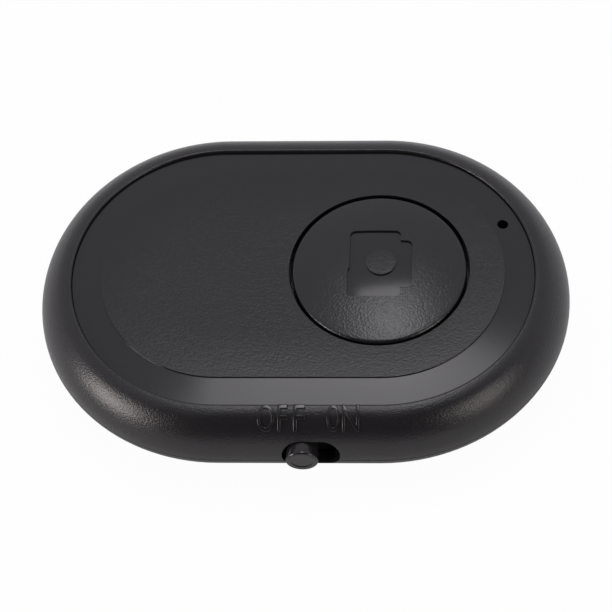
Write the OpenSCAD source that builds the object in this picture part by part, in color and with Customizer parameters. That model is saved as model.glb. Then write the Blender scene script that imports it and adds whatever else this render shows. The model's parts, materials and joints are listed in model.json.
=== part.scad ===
// Oval radio remote for a camera shutter: one round button on the face,
// one slide switch in the side, a coin cell behind a turn-off cover underneath.
// Millimetres. The origin is the centre of the flat base, +Z up, +X towards the button.

/* [Housing] */
// Length of the oval housing
body_l = 50; // [48:0.5:56]
// Width of the oval housing
body_w = 35; // [34:0.5:38]
// Height of the rim above the flat base
body_t = 10; // [9.8:0.1:11.5]
// Height of the widest line of the housing
widest_z = 5.4; // [5:0.1:5.6]
// Radius of the tall side in section, as a share of the height above the widest line
side_share = 1.12; // [1.06:0.02:1.4]
// Radius of the shoulder between side and rim, seen in section
shoulder_r = 2.7; // [2.2:0.1:3.2]
// Radius of the turn just under the widest line
turn_r = 1.8; // [1.6:0.1:2]
// Lean of the lower side from upright, in degrees
base_slope = 35; // [28:1:38]
// Radius of the edge round the flat base
foot_r = 2; // [1.6:0.1:2.4]
// Wall of both shells
wall = 1.3; // [1.1:0.05:1.35]
// Open seam between the two shells
seam_gap = 0.12; // [0.06:0.02:0.3]
// Drop of the seam below the centre of the power switch
seam_drop = 0.6; // [0.5:0.05:0.8]

/* [Face] */
// Width of the raised rim, seen from above
rim_w = 3.3; // [3:0.1:3.6]
// Depth of the polished band's outer edge below the rim
rim_drop = 0.4; // [0.2:0.05:0.6]
// Width of the polished band
band_w = 2.8; // [2.4:0.1:3.6]
// Fall of the polished band from the field out to the rim
band_fall = 0.4; // [0:0.05:0.6]
// Height of the textured field above the band
field_rise = 0.2; // [0.1:0.05:0.3]
// Thickness of the face plate at its outer edge
plate_t = 0.8; // [0.7:0.05:1]
// Thickness of the tape under the face plate
tape_t = 0.1; // [0.05:0.05:0.2]
// Thickness of the deck that carries the face plate
deck_t = 1.1; // [0.9:0.05:1.2]
// Radius of the hole over the status lamp
lamp_hole_r = 0.52; // [0.4:0.02:0.8]
// Distance of that hole's centre from the rim
lamp_in = 1.65; // [1.5:0.05:1.9]
// Direction of that hole round the housing's end, in degrees
lamp_angle = 26.8; // [20:0.1:35]

/* [Shutter button] */
// Radius of the round button
button_r = 8.15; // [7.6:0.05:8.4]
// Gap between button and face plate
button_gap = 0.3; // [0.2:0.05:0.4]
// Place of the button along the housing, from the centre of the round end
button_dx = -0.3; // [-1:0.1:0]
// Place of the button across the housing
button_dy = 0.35; // [0:0.05:1]
// Rise of the domed top above the textured field
dome_rise = 1.1; // [0.8:0.05:1.3]
// Radius of the button's edge
button_edge_r = 0.35; // [0.2:0.05:0.5]
// Travel of the button
press_travel = 0.3; // [0.2:0.05:0.35]

/* [Power switch] */
// Length of the side slot
slot_l = 5.35; // [4.9:0.05:5.6]
// Height of the side slot
slot_h = 3.2; // [3:0.05:3.4]
// Centre of the slot along the housing
slot_x = 1.2; // [0.5:0.1:2]
// Gap between the knob and the slot
knob_gap = 0.1; // [0.05:0.01:0.15]
// Height of the round knob proud of the widest line
knob_out = 0.6; // [0.5:0.05:1.2]
// Travel of the knob between OFF and ON
switch_travel = 1.6; // [1.4:0.05:1.7]

/* [Coin cell] */
// Diameter of the coin cell
cell_d = 20; // [19.6:0.1:20]
// Thickness of the coin cell
cell_t = 3.2; // [3:0.1:3.3]
// Room between cell and circuit board for the spring contact
contact_gap = 0.4; // [0.4:0.05:0.6]
// Thickness of the cover under the cell
door_t = 1; // [0.9:0.05:1.1]
// Turn that frees the cover, in degrees
door_turn = 40; // [35:1:45]
// Number of catches round the cover
lug_count = 3; // [2:1:3]

/* [Circuit board] */
// Thickness of the circuit board
board_t = 0.8; // [0.6:0.1:0.9]
// Height of the slide switch on the board
sw_h = 1.4; // [1.4:0.05:1.6]
// Height of the push switch on the board, to the top of its stem
tact_h = 1.5; // [1.45:0.01:1.55]

/* [Hidden] */
$fn = 96;

// Overrun of every cut past the face it opens
over = 0.5;

// Plan of the housing: two round ends of end_r joined by straights of length 2 * run
end_r = body_w / 2;
run = (body_l - body_w) / 2;
face_r = end_r - rim_w;
field_r = face_r - band_w;

// Heights from the base up: cover, cell, board, switch
cell_play = 0.05;
cell_z = door_t + cell_play;
board_z = cell_z + cell_t + contact_gap;
board_top = board_z + board_t;
switch_z = board_top + sw_h / 2;
seam_z = switch_z - seam_drop;

// Heights from the rim down: band, field, plate, tape, deck
band_z = body_t - rim_drop;
field_z = band_z + band_fall + field_rise;
plate_z = band_z - plate_t;
recess_z = plate_z - tape_t;
deck_z = recess_z - deck_t;

// Centres of the four arcs of the housing's section
side_r = side_share * (body_t - widest_z);
shoulder_a = asin((body_t - widest_z - shoulder_r) / (side_r - shoulder_r));
side_c = [end_r - side_r, widest_z];
shoulder_c = side_c + (side_r - shoulder_r) * [cos(shoulder_a), sin(shoulder_a)];
turn_c = [end_r - turn_r, widest_z];
slope_dir = [cos(base_slope), -sin(base_slope)];
slope_drop = widest_z - foot_r - (turn_r - foot_r) * sin(base_slope);
foot_c = [turn_c[0] + (turn_r - foot_r) * cos(base_slope) - slope_drop * tan(base_slope), foot_r];

// Tongue of the base shell inside the lip of the top shell
tongue_t = 0.5;
tongue_h = 0.7;
tongue_gap = 0.08;
tongue_step = 0.1;
tongue_in = end_r - wall + tongue_step;
tongue_out = tongue_in + tongue_t;
// Snap beads on the tongue, and the grooves they click into
bead_r = 0.25;
bead_proud = 0.15;
bead_gap = 0.05;
bead_z = seam_z + tongue_h / 2;
bead_turn = 18;
bead_angles = [-45, 45, 135, 225];
bead_l = 0.8 * run;

// Hollow under the rim
skirt_t = 0.7;
hollow_r = face_r + skirt_t;
hollow_rise = 0.5;

// Tape, cut back from the button's hole
tape_lap = 0.2;

// Button: centre, flange, guide and key
button_c = [run + button_dx, button_dy];
button_hole_r = button_r + button_gap;
press_play = 0.05;
flange_lap = 0.75;
flange_r = button_hole_r + flange_lap;
flange_t = 0.6;
flange_z = deck_z - press_play - flange_t;
guide_gap = 0.2;
guide_t = 0.7;
guide_r = flange_r + guide_gap;
guide_h = flange_t + press_play + press_travel;
key_w = 1.8;
key_reach = 0.65;
cap_wall = 1.2;
cap_t = 1.5;
cap_under_z = field_z + dome_rise - cap_t;
button_pin_r = 1.4;
rib_t = 0.8;
rib_h = 1.2;
dome_r = (pow(button_r, 2) + pow(dome_rise, 2)) / (2 * dome_rise);
dome_c = field_z + dome_rise - dome_r;
edge_x = button_r - button_edge_r;
edge_z = dome_c + sqrt(pow(dome_r - button_edge_r, 2) - pow(edge_x, 2));
edge_a = atan2(edge_z - dome_c, edge_x);

// Side slot, knob, and the guide plate behind the slot
slot_r = slot_h / 2;
knob_r = slot_r - knob_gap;
knob_x = slot_x - switch_travel / 2;
knob_cover = 0.3;
knob_edge = 0.2;
knob_dish_r = 0.65 * knob_r;
knob_dish = 0.08;
guide_plate_t = 0.8;
plate_gap = 0.1;
guide_plate_l = slot_l + switch_travel + knob_cover;
guide_plate_h = slot_h + 2 * knob_cover;
pocket_step = 0.3;
pocket_y = -tongue_in + pocket_step;
guide_plate_y = pocket_y + plate_gap;
pocket_l = guide_plate_l + switch_travel + 2 * knob_cover;

// Circuit board
board_edge_gap = 2.6;
board_r = end_r - wall - board_edge_gap;

// Screws that hold the board against the posts of the top shell
post_edge = 1.9;
post_x = run + board_r - post_edge;
post_r = 1.6;
screw_r = 0.6;
screw_play = 0.02;
screw_bite = 1.6;
screw_hole_r = 0.8;
screw_head_r = 1.2;
screw_head_t = 0.5;
cross_l = 1.3;
cross_w = 0.3;
cross_deep = 0.25;

// Rests of the base shell under the board
rest_r = 1.2;
rest_place = [run + 0.48 * board_r, 0.6 * board_r];

// Lamp and its shroud
lamp_c = [run, 0] + (face_r - lamp_in) * [cos(lamp_angle), sin(lamp_angle)];
lamp_l = 1.6;
lamp_w = 0.8;
lamp_h = 0.6;
shroud_t = 0.75;
shroud_gap = 0.2;

// Slide switch
sw_w = 6.6;
sw_d = 2.7;
sw_skin = 0.2;
sw_fit = 0.05;
sw_proud = 0.1;
sw_front = -board_r - sw_proud;
sw_base_t = 0.35;
tab_w = 1.3;
tab_h = 0.7;
tab_reach = 1.2;
slider_w = 3.6;
slider_h = 0.8;
fork_gap = 0.05;
fork_t = 0.8;
fork_h = 1.5;
pin_w = 0.4;
pin_t = 0.15;
pin_l = 0.8;
pin_pitch = 1.5;

// Push switch
tact_w = 5.1;
tact_case_t = 1;
tact_floor_t = 0.25;
tact_cover_t = 0.15;
tact_cover_w = 4.8;
tact_well_r = 1.9;
stem_r = 1;
stem_collar_r = 1.5;
stem_collar_t = 0.25;
stem_play = 0.02;
stem_gap = 0.1;
stem_hole_r = stem_r + stem_gap;
dome_sheet_t = 0.08;
dome_sheet_r = 1.8;
dome_sheet_h = tact_case_t - tact_floor_t - stem_collar_t - 2 * stem_play;
terminal_w = 0.7;
terminal_l = 0.75;
terminal_place = 0.3 * tact_w;

// Small parts on the board
chip_w = 5;
chip_t = 0.85;
chip_c = [-0.44 * (run + board_r), 0.1 * board_r];
crystal_l = 3.2;
crystal_w = 2.5;
crystal_t = 0.8;
crystal_c = [chip_c[0], chip_c[1] - 1.2 * chip_w];
cap_l = 1;
cap_w = 0.5;
cap_h = 0.5;
res_h = 0.35;
// Places of capacitors and resistors round the chip, as shares of the chip's width
cap_shares = [[0.85, 0.3], [0.85, -0.1], [-0.85, 0.4], [-0.85, 0], [-0.85, -0.4], [0.2, 0.85]];
res_shares = [[0.85, -0.55], [1.2, 0.3], [-0.85, -0.8], [-0.3, 0.85]];

// Printed antenna, a meander along the board's edge
trace_t = 0.05;
trace_w = 0.5;
trace_pitch = 1.2;
trace_h = 2.4;
trace_legs = 9;
trace_c = [chip_c[0] - trace_legs / 2 * trace_pitch + 2 * trace_pitch, 0.66 * board_r];

// Coin cell
can_t = 0.25;
can_edge_r = 0.5;
can_short = 0.3;
gasket_t = 0.5;
cell_fit = 0.03;
crimp_r = cell_d / 2 - can_t - gasket_t;
cap_r = crimp_r - cell_fit;
cathode_share = 0.45;
separator_t = 0.12;

// Cover of the coin cell
door_play = 0.05;
door_gap = 0.15;
cell_gap = 0.2;
door_ring_t = 0.7;
door_ring_r = cell_d / 2 + cell_gap + door_ring_t;
door_hole_r = door_ring_r + door_gap;
lug_reach = 0.75;
lug_t = 0.55;
lug_r = door_hole_r + lug_reach;
lug_z = wall + door_play;
lug_half = 9;
lug_free = 2;
stop_turn = 5;
door_lap = 0.6;
door_r = lug_r + door_lap;
door_flange_t = 0.5 * wall - door_play;
well_t = 0.8;
well_r = lug_r + cell_gap;
// Centre of the cell, whose well stands this far from the head of the screw at that end
well_gap = 0.2;
cell_x = well_r + well_t + well_gap + screw_head_r - post_x;
coin_l = 13;
coin_w = 1.8;
coin_deep = 0.5 * door_t;
mark_r = 0.45;
mark_deep = 0.2;
mark_inset = 1;

// Ribs, rings and posts of the base shell start this high, inside its floor
rib_z = 0.75 * wall;

// Spring contacts
leaf_t = 0.15;
leaf_w = 1.6;
leaf_pad = 2;
leaf_reach = 5.5;
leaf_tip = 0.7;
clip_t = 0.2;
clip_w = 4;
clip_foot = 1.1;
clip_stand = 0.4;

// Colours
shell_black = "#2b2b2d";
face_black = "#333335";
button_black = "#38383a";
steel = "#b9bcc0";
gold = "#c9a24b";
board_green = "#1f5a3a";
chip_black = "#1b1b1d";

// Slice of a disc between two directions, less than half a turn apart
module sector(centre, r, from_a, to_a) {
  mid_a = (from_a + to_a) / 2;
  reach = 2 * r;
  translate(centre) intersection() {
    circle(r = r);
    polygon([[0, 0], reach * [cos(from_a), sin(from_a)], reach * [cos(mid_a), sin(mid_a)],
      reach * [cos(to_a), sin(to_a)]]);
  }
}

// Half section of the closed housing, drawn in by inset all round
module housing_section(inset) {
  union() {
    sector(side_c, side_r - inset, 0, shoulder_a);
    sector(shoulder_c, shoulder_r - inset, shoulder_a, 90);
    sector(turn_c, turn_r - inset, -base_slope, 0);
    sector(foot_c, foot_r - inset, -90, -base_slope);
    polygon([
      [0, inset],
      [foot_c[0], inset],
      foot_c + (foot_r - inset) * slope_dir,
      turn_c + (turn_r - inset) * slope_dir,
      [end_r - inset, widest_z],
      side_c + (side_r - inset) * [cos(shoulder_a), sin(shoulder_a)],
      [shoulder_c[0], body_t - inset],
      [0, body_t - inset]
    ]);
  }
}

// Carries a half section round the oval path
module oval_sweep() {
  translate([run, 0, 0]) rotate([0, 0, -90]) rotate_extrude(angle = 180) children();
  translate([-run, 0, 0]) rotate([0, 0, 90]) rotate_extrude(angle = 180) children();
  rotate([90, 0, 90]) linear_extrude(2 * run, center = true) {
    children();
    mirror([1, 0]) children();
  }
}

// Flat oval of end radius r
module oval(r) {
  translate([run, 0]) circle(r = r);
  translate([-run, 0]) circle(r = r);
  square([2 * run, 2 * r], center = true);
}

// Band of a section between two heights, wide enough for the whole housing
module height_band(low, high) {
  translate([0, low]) square([end_r + over, high - low]);
}

// Ring or tube about Z
module ring(outer_r, inner_r, h) {
  difference() {
    cylinder(r = outer_r, h = h);
    translate([0, 0, -over]) cylinder(r = inner_r, h = h + 2 * over);
  }
}

// Part of a ring within half an angle either side of a direction
module ring_part(outer_r, inner_r, h, mid_a, half_a) {
  rotate([0, 0, mid_a]) linear_extrude(h) difference() {
    sector([0, 0], outer_r, -half_a, half_a);
    circle(r = inner_r);
  }
}

// Slot outline of total length l and width w along X
module long_hole(l, w) {
  half = (l - w) / 2;
  translate([half, 0]) circle(r = w / 2);
  translate([-half, 0]) circle(r = w / 2);
  square([2 * half, w], center = true);
}

// Snap beads, or with a gap the grooves for them
module snap_beads(gap) {
  bead_x = tongue_out + bead_proud - bead_r;
  for (a = bead_angles)
    translate([cos(a) > 0 ? run : -run, 0, 0])
      rotate([0, 0, a - bead_turn / 2])
        rotate_extrude(angle = bead_turn)
          translate([bead_x, bead_z]) circle(r = bead_r + gap);
  translate([-bead_l / 2 - gap, bead_x, bead_z]) rotate([0, 90, 0])
    cylinder(r = bead_r + gap, h = bead_l + 2 * gap);
}

// Slot through the side wall
module side_slot() {
  depth = wall + over + end_r - tongue_in;
  translate([slot_x, -end_r - over, switch_z]) rotate([-90, 0, 0]) linear_extrude(depth)
    long_hole(slot_l, slot_h);
}

// Flat pocket behind the slot, where the knob's guide plate runs
module knob_pocket() {
  depth = -pocket_y - hollow_r;
  h = guide_plate_h + 2 * plate_gap;
  translate([slot_x - pocket_l / 2, pocket_y, switch_z - h / 2]) cube([pocket_l, depth, h]);
}

// Top shell: rim, recess for the face plate, deck, posts and button guide
module top_shell() {
  color(shell_black) difference() {
    union() {
      oval_sweep() difference() {
        housing_section(0);
        translate([0, -over]) height_band(0, seam_z + over);
        translate([-over, recess_z]) square([face_r + over, body_t - recess_z + over]);
        intersection() {
          housing_section(wall);
          union() {
            height_band(0, deck_z);
            translate([hollow_r, 0]) square([end_r, deck_z + hollow_rise]);
          }
        }
        height_band(0, seam_z + tongue_h + tongue_gap);
      }
      oval_sweep() difference() {
        intersection() {
          housing_section(0);
          height_band(seam_z, seam_z + tongue_h + tongue_gap);
        }
        translate([-over, 0]) square([tongue_out + tongue_gap + over, body_t]);
      }
      translate([button_c[0], button_c[1], deck_z - guide_h]) button_guide();
      for (side = [-1, 1]) translate([side * post_x, 0, board_top])
        cylinder(r = post_r, h = deck_z - board_top + deck_t / 2);
      translate([lamp_c[0], lamp_c[1], board_top + lamp_h + shroud_gap])
        cylinder(r = lamp_hole_r + shroud_t, h = recess_z - board_top - lamp_h - shroud_gap);
    }
    translate([button_c[0], button_c[1], deck_z - over]) cylinder(r = button_hole_r, h = deck_t + 2 * over);
    translate([lamp_c[0], lamp_c[1], board_top]) cylinder(r = lamp_hole_r, h = body_t - board_top);
    for (side = [-1, 1]) translate([side * post_x, 0, board_top - over])
      cylinder(r = screw_r + screw_play, h = screw_bite + screw_r + over);
    side_slot();
    knob_pocket();
    snap_beads(bead_gap);
  }
}

// Collar under the deck that guides the button's flange, with its key
module button_guide() {
  h = guide_h + deck_t / 2;
  ring(guide_r + guide_t, guide_r, h);
  translate([-guide_r - guide_t / 2, -key_w / 2, 0]) cube([guide_t / 2 + key_reach + guide_gap, key_w, h]);
}

// Base shell: floor, battery well with its bayonet ledge, tongue and board rests
module base_shell() {
  color(shell_black) difference() {
    union() {
      oval_sweep() difference() {
        intersection() {
          housing_section(0);
          height_band(0, seam_z - seam_gap);
        }
        housing_section(wall);
      }
      oval_sweep() translate([tongue_in, seam_z - tongue_h])
        square([tongue_t, 2 * tongue_h]);
      snap_beads(0);
      translate([cell_x, 0, rib_z]) ring(well_r + well_t, well_r, board_z - rib_z);
      for (i = [0:lug_count - 1]) translate([cell_x, 0, rib_z]) rotate([0, 0, i * 360 / lug_count]) door_stops();
      for (side = [-1, 1]) translate([rest_place[0], side * rest_place[1], rib_z])
        cylinder(r = rest_r, h = board_z - rib_z);
    }
    translate([cell_x, 0, 0]) door_opening();
    side_slot();
    knob_pocket();
    for (a = [0, -door_turn]) translate([cell_x, 0, 0]) rotate([0, 0, a])
      translate([door_r + door_gap + mark_inset, 0, -over]) cylinder(r = mark_r, h = mark_deep + over);
  }
}

// Stops at both ends of one catch's turn
module door_stops() {
  closed_a = lug_half + (lug_free + stop_turn) / 2;
  open_a = -door_turn - lug_half - 1.25 * lug_free - stop_turn / 2;
  for (a = [closed_a, open_a])
    ring_part(well_r + well_t / 2, door_hole_r + door_gap, lug_z + lug_t - rib_z, a, stop_turn / 2);
}

// Hole for the cover: counterbore, passage and one gate for each catch
module door_opening() {
  translate([0, 0, -over]) cylinder(r = door_r + door_gap, h = door_flange_t + door_play + over);
  translate([0, 0, -over]) cylinder(r = door_hole_r, h = wall + 2 * over);
  for (i = [0:lug_count - 1])
    translate([0, 0, door_flange_t])
      ring_part(lug_r + door_gap, door_hole_r / 2, wall, i * 360 / lug_count - door_turn, lug_half + lug_free);
}

// Face plate: polished band round a raised, finely textured field
module face_plate() {
  plate_r = face_r - plate_gap / 2;
  step = field_rise / 2;
  color(face_black) difference() {
    oval_sweep() polygon([[0, plate_z], [plate_r, plate_z], [plate_r, band_z], [field_r, band_z + band_fall],
      [field_r, field_z - step], [field_r - step, field_z], [0, field_z]]);
    translate([button_c[0], button_c[1], plate_z - over]) cylinder(r = button_hole_r, h = body_t);
    translate([lamp_c[0], lamp_c[1], plate_z - over]) cylinder(r = lamp_hole_r, h = body_t);
  }
}

// Tape between the face plate and the deck
module face_tape() {
  color("white") translate([0, 0, recess_z]) linear_extrude(tape_t) difference() {
    oval(face_r - skirt_t / 2);
    translate(button_c) circle(r = button_hole_r + tape_lap);
    translate(lamp_c) circle(r = 1.5 * lamp_hole_r);
  }
}

// Half section of the solid button: dome, rounded edge, straight side and flange
module button_section() {
  dome_edge = dome_r * [cos(edge_a), sin(edge_a)] + [0, dome_c];
  union() {
    intersection() {
      translate([0, dome_c]) circle(r = dome_r, $fn = 4 * $fn);
      polygon([[0, flange_z], [edge_x, flange_z], [edge_x, edge_z], dome_edge, [0, field_z + 2 * dome_rise]]);
    }
    sector([edge_x, edge_z], button_edge_r, 0, edge_a);
    translate([edge_x - over, flange_z]) square([button_edge_r + over, edge_z - flange_z]);
    translate([edge_x - over, flange_z]) square([flange_r - edge_x + over, flange_t]);
  }
}

// Shutter button: domed cap, skirt, key-slotted flange, ribs and a pin for the push switch
module shutter_button() {
  pin_z = board_top + tact_h + press_play;
  color(button_black) translate([button_c[0], button_c[1], 0]) difference() {
    rotate_extrude() button_section();
    difference() {
      translate([0, 0, flange_z - over]) cylinder(r = button_r - cap_wall, h = cap_under_z - flange_z + over);
      translate([0, 0, pin_z]) cylinder(r = button_pin_r, h = body_t);
      for (a = [0, 90]) rotate([0, 0, a]) translate([-button_r, -rib_t / 2, cap_under_z - rib_h])
        cube([2 * button_r, rib_t, 2 * rib_h]);
    }
    translate([-flange_r - over, -key_w / 2 - plate_gap, flange_z - over])
      cube([key_reach + plate_gap + over, key_w + 2 * plate_gap, flange_t + 2 * over]);
  }
}

// Half section of the knob's peg: rounded front edge and a shallow dish in the front face
module peg_section(peg_l) {
  difference() {
    union() {
      translate([0, knob_edge]) square([knob_r, peg_l - knob_edge]);
      square([knob_r - knob_edge, 2 * knob_edge]);
      translate([knob_r - knob_edge, knob_edge]) circle(r = knob_edge);
    }
    translate([-over, -over]) square([knob_dish_r + over, knob_dish + over]);
  }
}

// Power knob: round peg, guide plate behind the slot, fork for the slide switch
module switch_knob() {
  peg_front = -end_r - knob_out;
  peg_l = guide_plate_y - peg_front + guide_plate_t / 2;
  fork_y = guide_plate_y + guide_plate_t;
  fork_l = sw_front - plate_gap - fork_y;
  color(shell_black) translate([knob_x, 0, switch_z]) difference() {
    union() {
      translate([0, peg_front, 0]) rotate([-90, 0, 0]) rotate_extrude() peg_section(peg_l);
      translate([-guide_plate_l / 2, guide_plate_y, -guide_plate_h / 2])
        cube([guide_plate_l, guide_plate_t, guide_plate_h]);
      translate([-tab_w / 2 - fork_gap - fork_t, fork_y - guide_plate_t / 2, -fork_h / 2])
        cube([tab_w + 2 * fork_gap + 2 * fork_t, fork_l + guide_plate_t / 2, fork_h]);
    }
    translate([-tab_w / 2 - fork_gap, fork_y, -fork_h])
      cube([tab_w + 2 * fork_gap, fork_l + over, 2 * fork_h]);
  }
}

// Turn-off cover under the cell: flush disc, ring round the cell, catches and coin slot
module battery_door() {
  color(shell_black) translate([cell_x, 0, 0]) difference() {
    union() {
      cylinder(r = door_r, h = door_flange_t);
      cylinder(r = door_ring_r, h = door_t);
      ring(door_ring_r, cell_d / 2 + cell_gap, lug_z + lug_t);
      for (i = [0:lug_count - 1]) translate([0, 0, lug_z])
        ring_part(lug_r, door_ring_r - door_ring_t / 2, lug_t, i * 360 / lug_count, lug_half);
    }
    translate([0, 0, -over]) linear_extrude(coin_deep + over) rotate([0, 0, 90]) long_hole(coin_l, coin_w);
    translate([door_ring_r, 0, -over]) cylinder(r = mark_r, h = mark_deep + over);
  }
}

// Circuit board with its two screw holes
module circuit_board() {
  color(board_green) translate([0, 0, board_z]) linear_extrude(board_t) difference() {
    oval(board_r);
    for (side = [-1, 1]) translate([side * post_x, 0]) circle(r = screw_hole_r);
  }
}

// Printed antenna: upright legs joined in turn at top and bottom
module antenna_trace() {
  color(gold) translate([trace_c[0], trace_c[1], board_top]) linear_extrude(trace_t) union() {
    for (i = [0:trace_legs - 1]) translate([i * trace_pitch, 0]) square([trace_w, trace_h]);
    for (i = [0:trace_legs - 2])
      translate([i * trace_pitch, i % 2 == 0 ? trace_h - trace_w : 0]) square([trace_pitch + trace_w, trace_w]);
  }
}

// Radio chip in a flat square package
module radio_chip() {
  color(chip_black) translate([chip_c[0] - chip_w / 2, chip_c[1] - chip_w / 2, board_top])
    cube([chip_w, chip_w, chip_t]);
}

// Quartz crystal in a metal can
module crystal() {
  color(steel) translate([crystal_c[0] - crystal_l / 2, crystal_c[1] - crystal_w / 2, board_top])
    cube([crystal_l, crystal_w, crystal_t]);
}

// Small two-ended parts set round the chip
module chip_parts(shares, h) {
  for (place = shares)
    translate([chip_c[0] + place[0] * chip_w - cap_l / 2, chip_c[1] + place[1] * chip_w - cap_w / 2, board_top])
      cube([cap_l, cap_w, h]);
}

// Ceramic capacitors
module capacitors() {
  color("#9a8466") chip_parts(cap_shares, cap_h);
}

// Resistors
module resistors() {
  color(chip_black) chip_parts(res_shares, res_h);
}

// Status lamp under its hole
module status_lamp() {
  color("#e8e2c8") translate([lamp_c[0] - lamp_l / 2, lamp_c[1] - lamp_w / 2, board_top])
    cube([lamp_l, lamp_w, lamp_h]);
}

// Two self-tapping screws from below the board
module board_screws() {
  color(steel) for (side = [-1, 1]) translate([side * post_x, 0, board_z]) difference() {
    union() {
      translate([0, 0, -screw_head_t]) cylinder(r = screw_head_r, h = screw_head_t);
      cylinder(r = screw_r, h = board_t + screw_bite);
    }
    for (a = [0, 90]) rotate([0, 0, a])
      translate([-cross_l / 2, -cross_w / 2, -screw_head_t - over]) cube([cross_l, cross_w, cross_deep + over]);
  }
}

// Moulded case of the push switch, with a round well for dome and stem
module push_switch_case() {
  color(chip_black) translate([button_c[0], button_c[1], board_top]) difference() {
    translate([-tact_w / 2, -tact_w / 2, 0]) cube([tact_w, tact_w, tact_case_t]);
    translate([0, 0, tact_floor_t]) cylinder(r = tact_well_r, h = tact_case_t);
  }
}

// Sheet-metal cover of the push switch
module push_switch_cover() {
  color(steel) translate([button_c[0], button_c[1], board_top + tact_case_t]) difference() {
    translate([-tact_cover_w / 2, -tact_cover_w / 2, 0]) cube([tact_cover_w, tact_cover_w, tact_cover_t]);
    translate([0, 0, -over]) cylinder(r = stem_hole_r, h = tact_cover_t + 2 * over);
  }
}

// Snap dome under the stem
module push_switch_dome() {
  sheet_r = (pow(dome_sheet_r, 2) + pow(dome_sheet_h, 2)) / (2 * dome_sheet_h);
  centre_z = dome_sheet_h - sheet_r;
  color(steel) translate([button_c[0], button_c[1], board_top + tact_floor_t]) rotate_extrude()
    intersection() {
      difference() {
        translate([0, centre_z]) circle(r = sheet_r);
        translate([0, centre_z]) circle(r = sheet_r - dome_sheet_t);
      }
      square([dome_sheet_r, dome_sheet_h + over]);
    }
}

// Stem of the push switch, held by its collar under the cover
module push_switch_stem() {
  collar_z = tact_case_t - stem_play - stem_collar_t;
  color("#8c2f2a") translate([button_c[0], button_c[1], board_top]) union() {
    translate([0, 0, collar_z]) cylinder(r = stem_collar_r, h = stem_collar_t);
    translate([0, 0, collar_z]) cylinder(r = stem_r, h = tact_h - collar_z);
  }
}

// Four solder terminals of the push switch
module push_switch_terminals() {
  color(steel) translate([button_c[0], button_c[1], board_top])
    for (side = [0, 180], place = [-1, 1]) rotate([0, 0, side])
      translate([tact_w / 2, place * terminal_place - terminal_w / 2, 0]) cube([terminal_l, terminal_w, pin_t]);
}

// Folded metal can of the slide switch, open below and at the front window
module slide_switch_can() {
  window_w = tab_w + switch_travel + 2 * sw_skin;
  window_h = tab_h + 2 * sw_fit;
  color(steel) translate([slot_x - sw_w / 2, sw_front, board_top]) difference() {
    cube([sw_w, sw_d, sw_h]);
    translate([sw_skin, sw_skin, -over]) cube([sw_w - 2 * sw_skin, sw_d - 2 * sw_skin, sw_h - sw_skin + over]);
    translate([(sw_w - window_w) / 2, -over, (sw_h - window_h) / 2]) cube([window_w, sw_skin + 2 * over, window_h]);
  }
}

// Insulating base of the slide switch
module slide_switch_base() {
  inset = sw_skin + sw_fit;
  color(chip_black) translate([slot_x - sw_w / 2 + inset, sw_front + inset, board_top])
    cube([sw_w - 2 * inset, sw_d - 2 * inset, sw_base_t - sw_fit]);
}

// Slider of the slide switch: block in the can, tab out of the window
module slide_switch_slider() {
  inset = sw_skin + sw_fit;
  color("#ece9e0") translate([knob_x, sw_front, switch_z]) union() {
    translate([-slider_w / 2, inset, -tab_h / 2]) cube([slider_w, sw_d - 2 * inset, slider_h]);
    translate([-tab_w / 2, -tab_reach, -tab_h / 2]) cube([tab_w, tab_reach + sw_d / 2, tab_h]);
  }
}

// Three solder pins behind the slide switch and two feet at each end
module slide_switch_pins() {
  back_y = sw_front + sw_d;
  color(steel) union() {
    for (i = [-1:1]) translate([slot_x + i * pin_pitch - pin_w / 2, back_y, board_top]) cube([pin_w, pin_l, pin_t]);
    for (side = [-1, 1], row = [1, 3])
      translate([slot_x + side * (sw_w + pin_l) / 2 - pin_l / 2, sw_front + row * sw_d / 4 - pin_w / 2, board_top])
        cube([pin_l, pin_w, pin_t]);
  }
}

// Steel can of the coin cell, open upwards with its rim crimped in
module cell_can() {
  r = cell_d / 2;
  h = cell_t - can_short;
  color(steel) translate([cell_x, 0, cell_z]) rotate_extrude() difference() {
    union() {
      square([r - can_edge_r, h]);
      translate([0, can_edge_r]) square([r, h - 2 * can_edge_r]);
      sector([r - can_edge_r, can_edge_r], can_edge_r, -90, 0);
      sector([r - can_edge_r, h - can_edge_r], can_edge_r, 0, 90);
    }
    translate([-over, can_t]) square([r - can_t + over, h - 2 * can_t]);
    translate([-over, can_t]) square([crimp_r + gasket_t / 2 + over, h]);
  }
}

// Sealing ring between can and cap
module cell_gasket() {
  h = cell_t - can_short - can_t - cell_fit;
  color("#d9d9d2") translate([cell_x, 0, cell_z + can_t]) difference() {
    union() {
      cylinder(r = crimp_r + gasket_t - cell_fit, h = h - can_t);
      cylinder(r = crimp_r + gasket_t / 2 - cell_fit, h = h + can_t / 2);
    }
    translate([0, 0, -over]) cylinder(r = crimp_r, h = cell_t + 2 * over);
  }
}

// Upper cap of the coin cell
module cell_cap() {
  color(steel) translate([cell_x, 0, cell_z]) difference() {
    translate([0, 0, can_t + cell_fit]) cylinder(r = cap_r, h = cell_t - can_t - cell_fit);
    translate([0, 0, -over]) cylinder(r = cap_r - can_t, h = cell_t - can_t + over);
  }
}

// Discs inside the cell, from the can up: cathode, separator, lithium
module cell_disc(from_share, to_share, play_low, play_high) {
  inner_h = cell_t - 2 * can_t;
  low = can_t + from_share * inner_h + play_low;
  high = can_t + to_share * inner_h - play_high;
  translate([cell_x, 0, cell_z + low]) cylinder(r = cap_r - can_t - cell_fit, h = high - low);
}

// Pressed cathode pellet
module cell_cathode() {
  color("#3a3a3c") cell_disc(0, cathode_share, 0, separator_t / 2);
}

// Separator sheet
module cell_separator() {
  color("white") cell_disc(cathode_share, cathode_share, -separator_t / 2, -separator_t / 2);
}

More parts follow.
